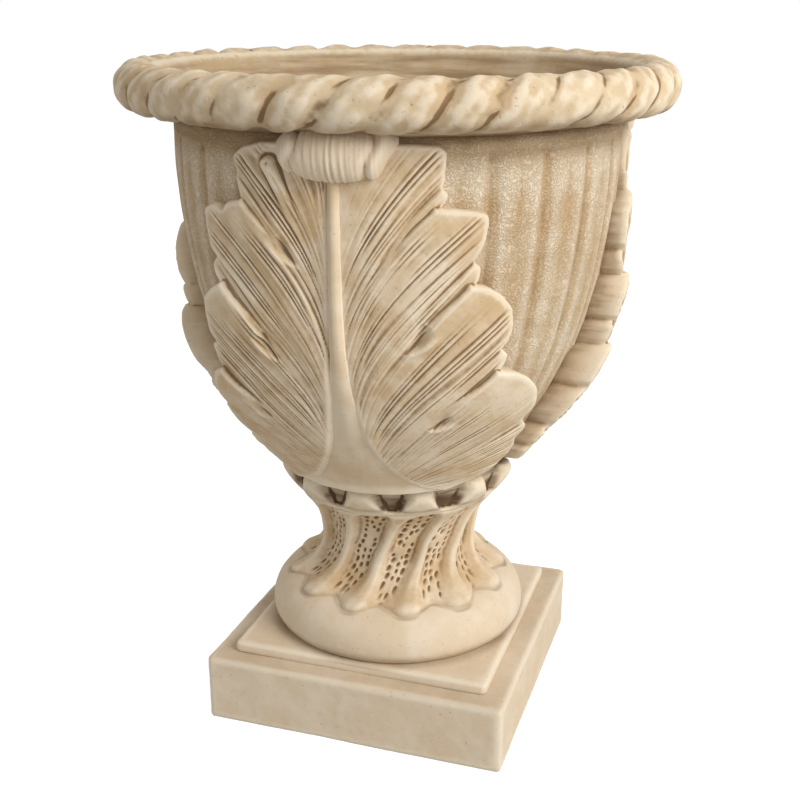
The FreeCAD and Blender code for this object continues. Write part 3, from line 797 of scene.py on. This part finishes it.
def lobe_places(first_root, last_root, corners, turn, height):
    """For each place: its share across the lobe's veins, its share along them, and the edge's length."""
    shares, edge, edge_length = lobe_edge(corners)
    across = np.full(turn.shape, np.nan)
    along = np.full(turn.shape, np.nan)
    before_gap, before_step = None, None
    for share, (end_turn, end_height) in zip(shares, edge):
        root = np.array(first_root) + (np.array(last_root) - first_root) * share
        step = np.clip((turn - root[0]) / max(end_turn - root[0], 0.2), 0, None)
        gap = root[1] + (end_height - root[1]) * step ** root[2] - height
        step = step ** 0.65
        if before_gap is not None:
            found = np.isnan(across) & (before_gap > 0) & (gap <= 0)
            part = before_gap / np.where(found, before_gap - gap, 1)
            across = np.where(found, share - (1 - part) * (shares[1] - shares[0]), across)
            along = np.where(found, before_step + (step - before_step) * part, along)
        before_gap, before_step = gap, step
    return across, along, edge_length


def cell_rate(field):
    """How fast a grid of values changes, for each millimetre of sheet."""
    up_rate, turn_rate = np.gradient(field)
    return np.hypot(up_rate / CELL_HEIGHT, turn_rate / (CELL_TURN * MM_PER_DEGREE))


def inner_edge(height):
    """The turn at which a blade begins beside the midrib, which it laps over near the bottom."""
    return np.interp(height, [229, 231, 235, 240, 245, 253, 262, 277, 295, 334, 376, 414, 470, 530],
                     [40, 33, 26, 21.5, 18, 14.6, 11.4, 7.8, 5.0, 2.3, 1.6, 1.25, 1.15, 1.15])


print("leaf relief at the bottom, middle and top:", leaf_relief(np.array([230, 380, 520])).round(1))


# %% Carve one lobe
def line_strength(number, seed):
    """A strength for each numbered line, so that no two neighbours are cut alike."""
    strengths = np.random.default_rng(seed).uniform(0, 1, 128)
    return strengths[np.mod(np.round(number).astype(int), 128)]


def groove_lines(line, rate, seed, across, along):
    """Broad and narrow grooves along the veins. They fade out where they would lie too close."""
    line = line + 0.36 * np.sin(line * 1.9 + seed) + 0.36 * wave(line * 3, along * 40, seed, 20)
    spacing = 1 / np.clip(rate, 0.01, 5)
    minor_line = line + 0.5 + 0.16 * np.sin(line * 3.3 + seed)
    major, minor = np.abs(line - np.round(line)), np.abs(minor_line - np.round(minor_line))
    pair = 2 * np.abs(line / 2 - np.round(line / 2))
    uneven = 0.30 + 0.80 * line_strength(line, seed) + 0.5 * wave(across * 40, along * 45, seed + 1, 16)
    patchy = 1.2 * line_strength(minor_line, seed + 7) - 0.2
    patchy = patchy + 0.5 * wave(across * 50, along * 45, seed + 2, 13)
    wide = np.clip(1.3 / spacing, 0.15, 0.30)
    roomy = ease(2.0, 3.4, spacing)
    kept = 0.52 + 0.91 * line_strength(line / 2, seed + 3)
    kept = kept * bell(pair, np.clip(1.3 / spacing, 0.3, 0.62))
    sink = 1.9 * np.clip(uneven, 0, 1.5) * bell(major, wide) * roomy
    sink = sink + 1.2 * np.clip(patchy, 0, 1.1) * bell(minor, wide) * ease(3.2, 5.0, spacing)
    sink = sink + kept * (1 - roomy) * ease(0.9, 1.7, spacing)
    return sink - 0.9 * ease(3, 6, spacing) * np.sin(np.pi * major) ** 2


def carve_lobe(number, side, turn, height, relief):
    """A lobe's height off the wall and its depth inside the outline, over the whole grid."""
    across, along, edge_length = lobe_places(*ROOTS[number:number + 2], LOBES[side][number], turn, height)
    shared = 0.055 * ease(0.96, 0.72, along)
    inside = np.minimum((1 - along) * 90, np.minimum(across + shared, 1 + shared - across) * edge_length)
    inside = np.where(np.isnan(inside), -30, inside)
    inside = inside / np.clip(cell_rate(inside), 0.25, 8)
    across, along = np.nan_to_num(across), np.nan_to_num(along)
    seed = 100 + 10 * number + (5 if side < 0 else 0)
    near = np.interp(height, [235, 262, 295, 334, 414, 480], [1.0, 1.0, .93, .84, .78, .80])
    rise = np.interp(along, [0, .25, .5, .75, .92, 1, 1.1], [0, .12, .40, .76, 1, .96, .9])
    top = relief * (near + (1.07 - near) * rise)
    tent = ease(0.50, 0.95, along) * (4.2 + 2.6 * relief / RELIEF)
    top = top + tent * (0.34 - 0.85 * ease(0.05, 1.0, across)) - 75 * np.clip(-across, 0, 0.2)
    notch = NOTCHES[side][number]
    fold = ease(notch - 0.16, notch - 0.01, across) - ease(notch - 0.01, notch + 0.03, across)
    top = top - 2.2 * ease(0.6, 0.9, along) * fold
    line = across * (edge_length / 6.4)
    sink = groove_lines(line, cell_rate(line), seed, across, along)
    smooth_corner = ease(0.66, 0.9, along) * ease(0.40, 0.22, across)
    if number == 0 and side > 0:
        smooth_corner = np.maximum(smooth_corner, ease(0.56, 0.36, across) * 0.9)
    if number == 3:
        smooth_corner = np.maximum(smooth_corner, 0.5 * ease(0.30, 0.12, across))
    ends = ease(0.02, 0.12, along) * ease(1.01, 0.92, along)
    top = top - sink * (1 - 0.88 * smooth_corner) * ends
    top = top + 0.9 * wave(across * 60, along * 50, seed + 3, 26)
    rounding = np.clip(inside / 3.4, 0, 1)
    top = top - 3.4 * (1 - np.sqrt(1 - (1 - rounding) ** 2)) * 0.8
    return np.where(inside < 0, top - 12 * np.abs(inside), top), inside


print("lobe carving ready")


# %% Carve a blade
SHEET_LOW, SHEET_HIGH, SHEET_TURN = 230, 528, 56
GRID_LOW = 226


def sink_eyes(surface, side, turn, height):
    for eye_turn, eye_height, depth, length in EYES[side]:
        slope = math.radians(56 if eye_height > 340 else 42)
        east, north = (turn - eye_turn) * MM_PER_DEGREE, height - eye_height
        forward = east * math.cos(slope) + north * math.sin(slope)
        sideways = -east * math.sin(slope) + north * math.cos(slope) - 0.012 * forward ** 2
        width = 3.0 + 1.6 * np.clip(forward / length, -1, 1)
        taper = np.clip(1 - (forward / length) ** 2, 0, 1) ** 1.3
        lip = bell(sideways + 1.9 * width, width)
        surface = surface - depth * (bell(sideways, width) - 0.25 * lip) * taper
    return surface


def add_finger(surface, turn, height, relief):
    """A curled finger with a round head, beside the scroll on the left blade."""
    east, north = (turn - 14.6) * MM_PER_DEGREE, height - 508
    forward, sideways = 0.42 * east + 0.91 * north, 0.91 * east - 0.42 * north
    half = np.interp(forward, [-40, -12, 0], [3.4, 4.6, 5.4])
    around = np.hypot(sideways, np.clip(forward, 0, None)) / half
    length = ease(-44, -10, forward)
    surface = surface + (relief * 0.92 - surface) * ease(1.9, 1.1, around) * length
    lift = np.interp(forward, [-40, -8, 0], [2.2, 4.8, 6.2])
    finger = lift * np.sqrt(np.clip(1 - around ** 2, 0, 1)) - 2.4 * bell(around - 1.28, 0.3)
    finger = finger - 2.4 * bell(np.hypot(sideways + 1.2, forward - 0.5), 1.9)
    finger = finger - 1.3 * bell(sideways + 1.0, 1.1) * ease(-4, -12, forward)
    return surface + finger * length


def blade_heights(side, settle):
    """Grids of heights off the wall and of depths inside the outline, over turn and height."""
    turn, height = np.meshgrid(np.arange(0, 58, CELL_TURN), np.arange(GRID_LOW, 532, CELL_HEIGHT))
    relief = leaf_relief(height)
    carved_height = height + settle * ease(345, 400, height) * ease(522, 478, height)
    surface = np.full(turn.shape, -60.0)
    depth = np.full(turn.shape, -30.0)
    for number in range(4):
        top, inside = carve_lobe(number, side, turn, carved_height, relief)
        surface = np.maximum(surface, top)
        depth = np.maximum(depth, inside)
    surface = sink_eyes(surface, side, turn, carved_height)
    if side < 0:
        surface = add_finger(surface, turn, height, relief)
    slant = np.gradient(inner_edge(height[:, 0]), CELL_HEIGHT)[:, None] * MM_PER_DEGREE
    beside = (turn - inner_edge(height)) * MM_PER_DEGREE / np.sqrt(1 + slant ** 2)
    groove = np.interp(height, [232, 262, 300, 360], [2.6, 2.4, 2.0, 1.6])
    surface = surface - groove * (1 - np.clip(beside / 3.0, 0, 1)) ** 2
    return surface, np.minimum(depth, beside + 1.2)


print("blade carving ready")


# %% Cut, thicken and bend a blade
def look_up(grid, turn, height):
    """The grid's value at scattered places, in a straight line between its points."""
    column = np.clip(turn / CELL_TURN, 0, grid.shape[1] - 1.001)
    row = np.clip((height - GRID_LOW) / CELL_HEIGHT, 0, grid.shape[0] - 1.001)
    left, low = column.astype(int), row.astype(int)
    right_share, high_share = column - left, row - low
    lower, upper = (grid[line, left] * (1 - right_share) + grid[line, left + 1] * right_share
                    for line in (low, low + 1))
    return lower * (1 - high_share) + upper * high_share


def cut_sheet(name, depth_at):
    """A flat grid of turns and heights in thousandths, cut to the faces inside the outline."""
    size = np.array([SHEET_TURN, SHEET_HIGH - SHEET_LOW])
    columns, rows = (size / [CELL_TURN, CELL_HEIGHT]).astype(int)
    deselect_all()
    bpy.ops.mesh.primitive_grid_add(x_subdivisions=int(columns), y_subdivisions=int(rows), size=1)
    sheet = name_piece(name)
    places = read_points(sheet)
    places[:, :2] = [0, SHEET_LOW] + (places[:, :2] * MM + 0.5) * size
    places[:, 2] = 0
    write_points(sheet, places)
    centres = read(sheet.data.polygons, "center", 3) / MM
    edit_chosen("FACE", sheet.data.polygons, depth_at(centres[:, 0], centres[:, 1]) <= 0)
    bpy.ops.mesh.delete(type="FACE")
    leave_edit()
    return sheet


def snap_edge(sheet, depth_at):
    """Move the points on the sheet's border onto the outline."""
    loops = read(sheet.data.loops, "edge_index", 1, int).ravel()
    faces_per_edge = np.bincount(loops, minlength=len(sheet.data.edges))
    border = np.unique(read(sheet.data.edges, "vertices", 2, int)[faces_per_edge == 1])
    places = read_points(sheet)
    for _ in range(3):
        turn, height = places[border, 0], places[border, 1]
        here = depth_at(turn, height)
        rate_turn = (depth_at(turn + 0.2, height) - depth_at(turn - 0.2, height)) / 0.4 / MM_PER_DEGREE
        rate_up = (depth_at(turn, height + 0.6) - depth_at(turn, height - 0.6)) / 1.2
        size = np.clip(rate_turn ** 2 + rate_up ** 2, 0.2, None)
        places[border, 0] -= np.clip(here * rate_turn / size, -1.0, 1.0) / MM_PER_DEGREE * 0.6
        places[border, 1] -= np.clip(here * rate_up / size, -1.0, 1.0) * 0.6
    write_points(sheet, places)


def thicken(sheet):
    """Extrude the sheet three times by one whole number, so that its four layers can be told."""
    edit_all()
    for _ in range(3):
        bpy.ops.mesh.extrude_region_move(TRANSFORM_OT_translate={"value": (0, 0, MM)})
    leave_edit()
    across, up, layer = read_points(sheet).T
    return across, up, np.round(layer).astype(int)


def thin_out_back(piece, back, share):
    """Let the hidden back keep only a share of its faces."""
    group = piece.vertex_groups.new(name="back")
    group.add([int(point) for point in np.flatnonzero(back)], 1.0, "REPLACE")
    apply_modifier(piece, "DECIMATE", ratio=share, vertex_group="back")
    piece.vertex_groups.clear()


def make_blade(name, side, leaf):
    surface, depth = blade_heights(side, SETTLES[side, leaf])

    def depth_at(turn, height):
        return look_up(depth, turn, height)

    sheet = cut_sheet(name, depth_at)
    snap_edge(sheet, depth_at)
    turn, height, layer = thicken(sheet)
    top = np.maximum(look_up(surface, turn, height), 1.5)
    offset = np.choose(layer, [top * 0 - 4, top * 0.3, top * 0.8 - 0.5, top])
    turn = LEAF_TURN + leaf * LEAF_PITCH + side * turn
    write_points(sheet, polar(turn, wall_reach(height) + offset, height))
    thin_out_back(sheet, layer == 0, 0.57)
    return sheet


def near_wall(turn, reach, height):
    """Painted shade where a blade's edge meets the bowl."""
    lift = (reach - wall_reach(height)) / leaf_relief(height)
    return 0.8 * ease(0.85, 0.35, lift) * ease(500, 460, height)


for leaf in range(LEAF_COUNT):
    for side, side_name in ((-1, "left"), (1, "right")):
        blade = make_blade(f"carved_leaf_{leaf + 1}_{side_name}", side, leaf)
        wear(blade, (12, 0.5), (4, 0.25))
        finish_piece(blade, f"leaf_{leaf + 1}_{side_name}_blade", "leaf_stone", shade_and_grime_rule=near_wall)

# %% [markdown]
# The midrib is smooth. It is a narrow ridge between the blades and opens below like a trumpet, whose
# hem hangs over the collar and whose sides pass under the blades.

# %% Build the stems
STEM_LOW, STEM_LENGTH = 233.5, 277
STEM_HEIGHTS = [231, 235, 240, 247, 256, 270, 295, 334, 376, 414, 530]
STEM_HALVES = [34, 30, 26, 21.5, 17.4, 12.0, 6.6, 2.8, 1.8, 1.5, 1.4]
STEM_LIFTS = [.98, .93, .88, .85, .84, .83, .83, .84, .85, .86, .95]


def make_stem(name, leaf):
    deselect_all()
    bpy.ops.mesh.primitive_grid_add(x_subdivisions=56, y_subdivisions=150, size=1)
    stem = name_piece(name)
    across, up, layer = thicken(stem)
    across = across * MM * 2
    height = STEM_LOW + (up * MM + 0.5) ** 1.25 * STEM_LENGTH
    half = smooth_line(STEM_HEIGHTS, STEM_HALVES, height, blur=3)
    lift = leaf_relief(height) * smooth_line(STEM_HEIGHTS, STEM_LIFTS, height, blur=4)
    offset_mm = across * half * MM_PER_DEGREE
    narrow = ease(300, 350, height)
    crown = 1.2 + 1.6 * narrow - (1.2 + 2.6 * narrow) * np.abs(across) ** 2.4
    ridge = 2.2 * bell(offset_mm, 6.5) * ease(246, 320, height) * (1 - narrow)
    hem = ease(240, STEM_LOW, height)
    top = lift + crown + ridge + 0.4 * wave(offset_mm, height, 61 + leaf, 34) - 1.8 * hem ** 2
    offset = np.choose(layer, [top * 0 - 4, top * 0.3 - 1, top * 0.75 - 1, top])
    sag = 2.0 * (1 - across ** 2) * hem + 2.5 * hem ** 2 * (layer == 3)
    turn = LEAF_TURN + 0.4 + leaf * LEAF_PITCH + across * half
    write_points(stem, polar(turn, wall_reach(height) + offset, height + 1.5 - sag))
    return stem


for leaf in range(LEAF_COUNT):
    stem = make_stem(f"carved_leaf_{leaf + 1}_stem", leaf)
    wear(stem, (14, 0.6))
    finish_piece(stem, f"leaf_{leaf + 1}_stem", "stem_stone")

# %% [markdown]
# The leaf's tip rolls over into a fat little barrel. Its back shows the leaf's ribs, soft lobes fold
# in near both ends, and the ends themselves are sunk like the inside of a curled shaving.

# %% Build the scrolls
SCROLL_REACH, SCROLL_HALF, SCROLL_HEIGHT = 19.0, 47, 516.2
# The barrel's outside ends at this share of its run, and its sunk ends turn back from there.
SCROLL_LIP = 0.86
TAPER_SHARES = [0, .3, .55, .75, .88, .96, 1]
TAPERS = {-1: [1, .975, .89, .74, .56, .38, .25], 1: [1, .975, .93, .74, .52, .38, .26]}


def make_scroll(name, leaf):
    deselect_all()
    bpy.ops.mesh.primitive_grid_add(x_subdivisions=96, y_subdivisions=150, size=1)
    scroll = name_piece(name)
    round_share, run, _ = read_points(scroll).T * MM
    run, angle = run * 2, round_share * 2 * np.pi
    outer = np.clip(np.abs(run) / SCROLL_LIP, 0, 1)
    inner = np.clip((np.abs(run) - SCROLL_LIP) / (1 - SCROLL_LIP), 0, 1)
    along = np.sign(run) * (outer - 0.26 * inner)
    tapers = [np.interp(outer, TAPER_SHARES, TAPERS[side]) for side in (-1, 1)]
    reach = SCROLL_REACH * np.where(run < 0, *tapers) * (1 - inner) * (1 + 0.6 * inner)
    curl = 0.05 * np.sin(angle + 0.6) + 0.02 * np.sin(3 * angle)
    ribs = np.cos(2 * np.pi * (along * 8.3 + curl * 2 + 0.5 * np.sin(along * 5)))
    strength = 1 + 0.9 * wave(along * 30, angle * 2, 73, 9)
    relief = (0.22 * ribs * strength + 0.12 * np.cos(2 * np.pi * along * 15)) * ease(0.97, 0.8, outer)
    for fold, depth in ((0.52, 2.3), (-0.60, 2.0)):
        away = (along - fold - curl * 1.5) * np.sign(fold)
        relief = relief - depth * bell(away, 0.06) + 2.0 * bell(away - 0.16, 0.1)
    relief = relief - 3.6 * bell(angle + 1.05, 0.55) * ease(0.66, 0.95, along)
    relief = relief + (1.4 * bell(angle + 1.9, 0.2) - bell(angle + 1.5, 0.16)) * ease(0.95, 0.6, outer)
    reach = reach + relief * (1 - inner)
    middle = SCROLL_HEIGHT + 3.0 * along ** 2 + 3.5 * ease(0.5, 1.0, along)
    height = np.minimum(middle + reach * np.sin(angle), 534.5)
    distance = wall_reach(520.0) + 6.0 - 7 * along ** 2 + reach * np.cos(angle)
    turn = LEAF_TURN + 0.6 + leaf * LEAF_PITCH + np.degrees(along * SCROLL_HALF / 195)
    write_points(scroll, polar(turn, distance, height))
    edit_all()
    bpy.ops.mesh.remove_doubles(threshold=0.00001)
    leave_edit()
    return scroll


for leaf in range(LEAF_COUNT):
    scroll = make_scroll(f"carved_leaf_{leaf + 1}_scroll", leaf)
    wear(scroll, (9, 0.4))
    finish_piece(scroll, f"leaf_{leaf + 1}_scroll", "scroll_stone")

# %% [markdown]
# ## Studio
# The photograph was taken in soft light from the right, on white. The floor and backdrop are pale,
# and a broad lamp from the right does most of the work.

# %% Light the studio
def seen_directly(bench):
    """1 for what the camera sees, also in a gloss or through a pane, and 0 for the light that it casts."""
    paths = bench.node("ShaderNodeLightPath").outputs
    through = bench.math("MAXIMUM", paths["Is Glossy Ray"], paths["Is Transmission Ray"])
    return bench.math("MAXIMUM", paths["Is Camera Ray"], through)


deselect_all()
bpy.ops.mesh.primitive_plane_add(size=8)
floor = name_piece("studio_floor")
material = bpy.data.materials.new("studio_white")
material.use_nodes = True
bench = Shop(material.node_tree)
shader = bench.node("ShaderNodeBsdfPrincipled", {
    "Base Color": (0.55, 0.55, 0.55, 1), "Roughness": 0.9, "Emission Color": (1, 1, 1, 1),
    "Emission Strength": bench.times(seen_directly(bench), 0.74)})
bench.node("ShaderNodeOutputMaterial", {"Surface": shader.outputs[0]})
floor.data.materials.append(material)

world = bpy.data.worlds.new("studio_world")
bpy.context.scene.world = world
world.use_nodes = True
bench = Shop(world.node_tree)
strength = bench.math("MULTIPLY_ADD", seen_directly(bench), 0.39, 0.61)
light = bench.node("ShaderNodeBackground", {"Color": (1, 1, 1, 1), "Strength": strength})
bench.node("ShaderNodeOutputWorld", {"Surface": light.outputs[0]})

# The lamp's turn from the front, its rise over the floor, and its way in metres to the urn's middle.
LAMP_TURN, LAMP_RISE, LAMP_WAY, AIM_HEIGHT = math.radians(67), math.radians(31), 2.2, 0.3
lamp = bpy.data.lights.new("soft_key", "AREA")
lamp.shape = "DISK"
lamp.size = 1.3
lamp.energy = 36
holder = bpy.data.objects.new("soft_key", lamp)
bpy.context.collection.objects.link(holder)
flat = LAMP_WAY * math.cos(LAMP_RISE)
holder.location = (flat * math.sin(LAMP_TURN), -flat * math.cos(LAMP_TURN),
                   AIM_HEIGHT + LAMP_WAY * math.sin(LAMP_RISE))
holder.rotation_euler = (math.pi / 2 - LAMP_RISE, 0, LAMP_TURN)
print("studio ready")
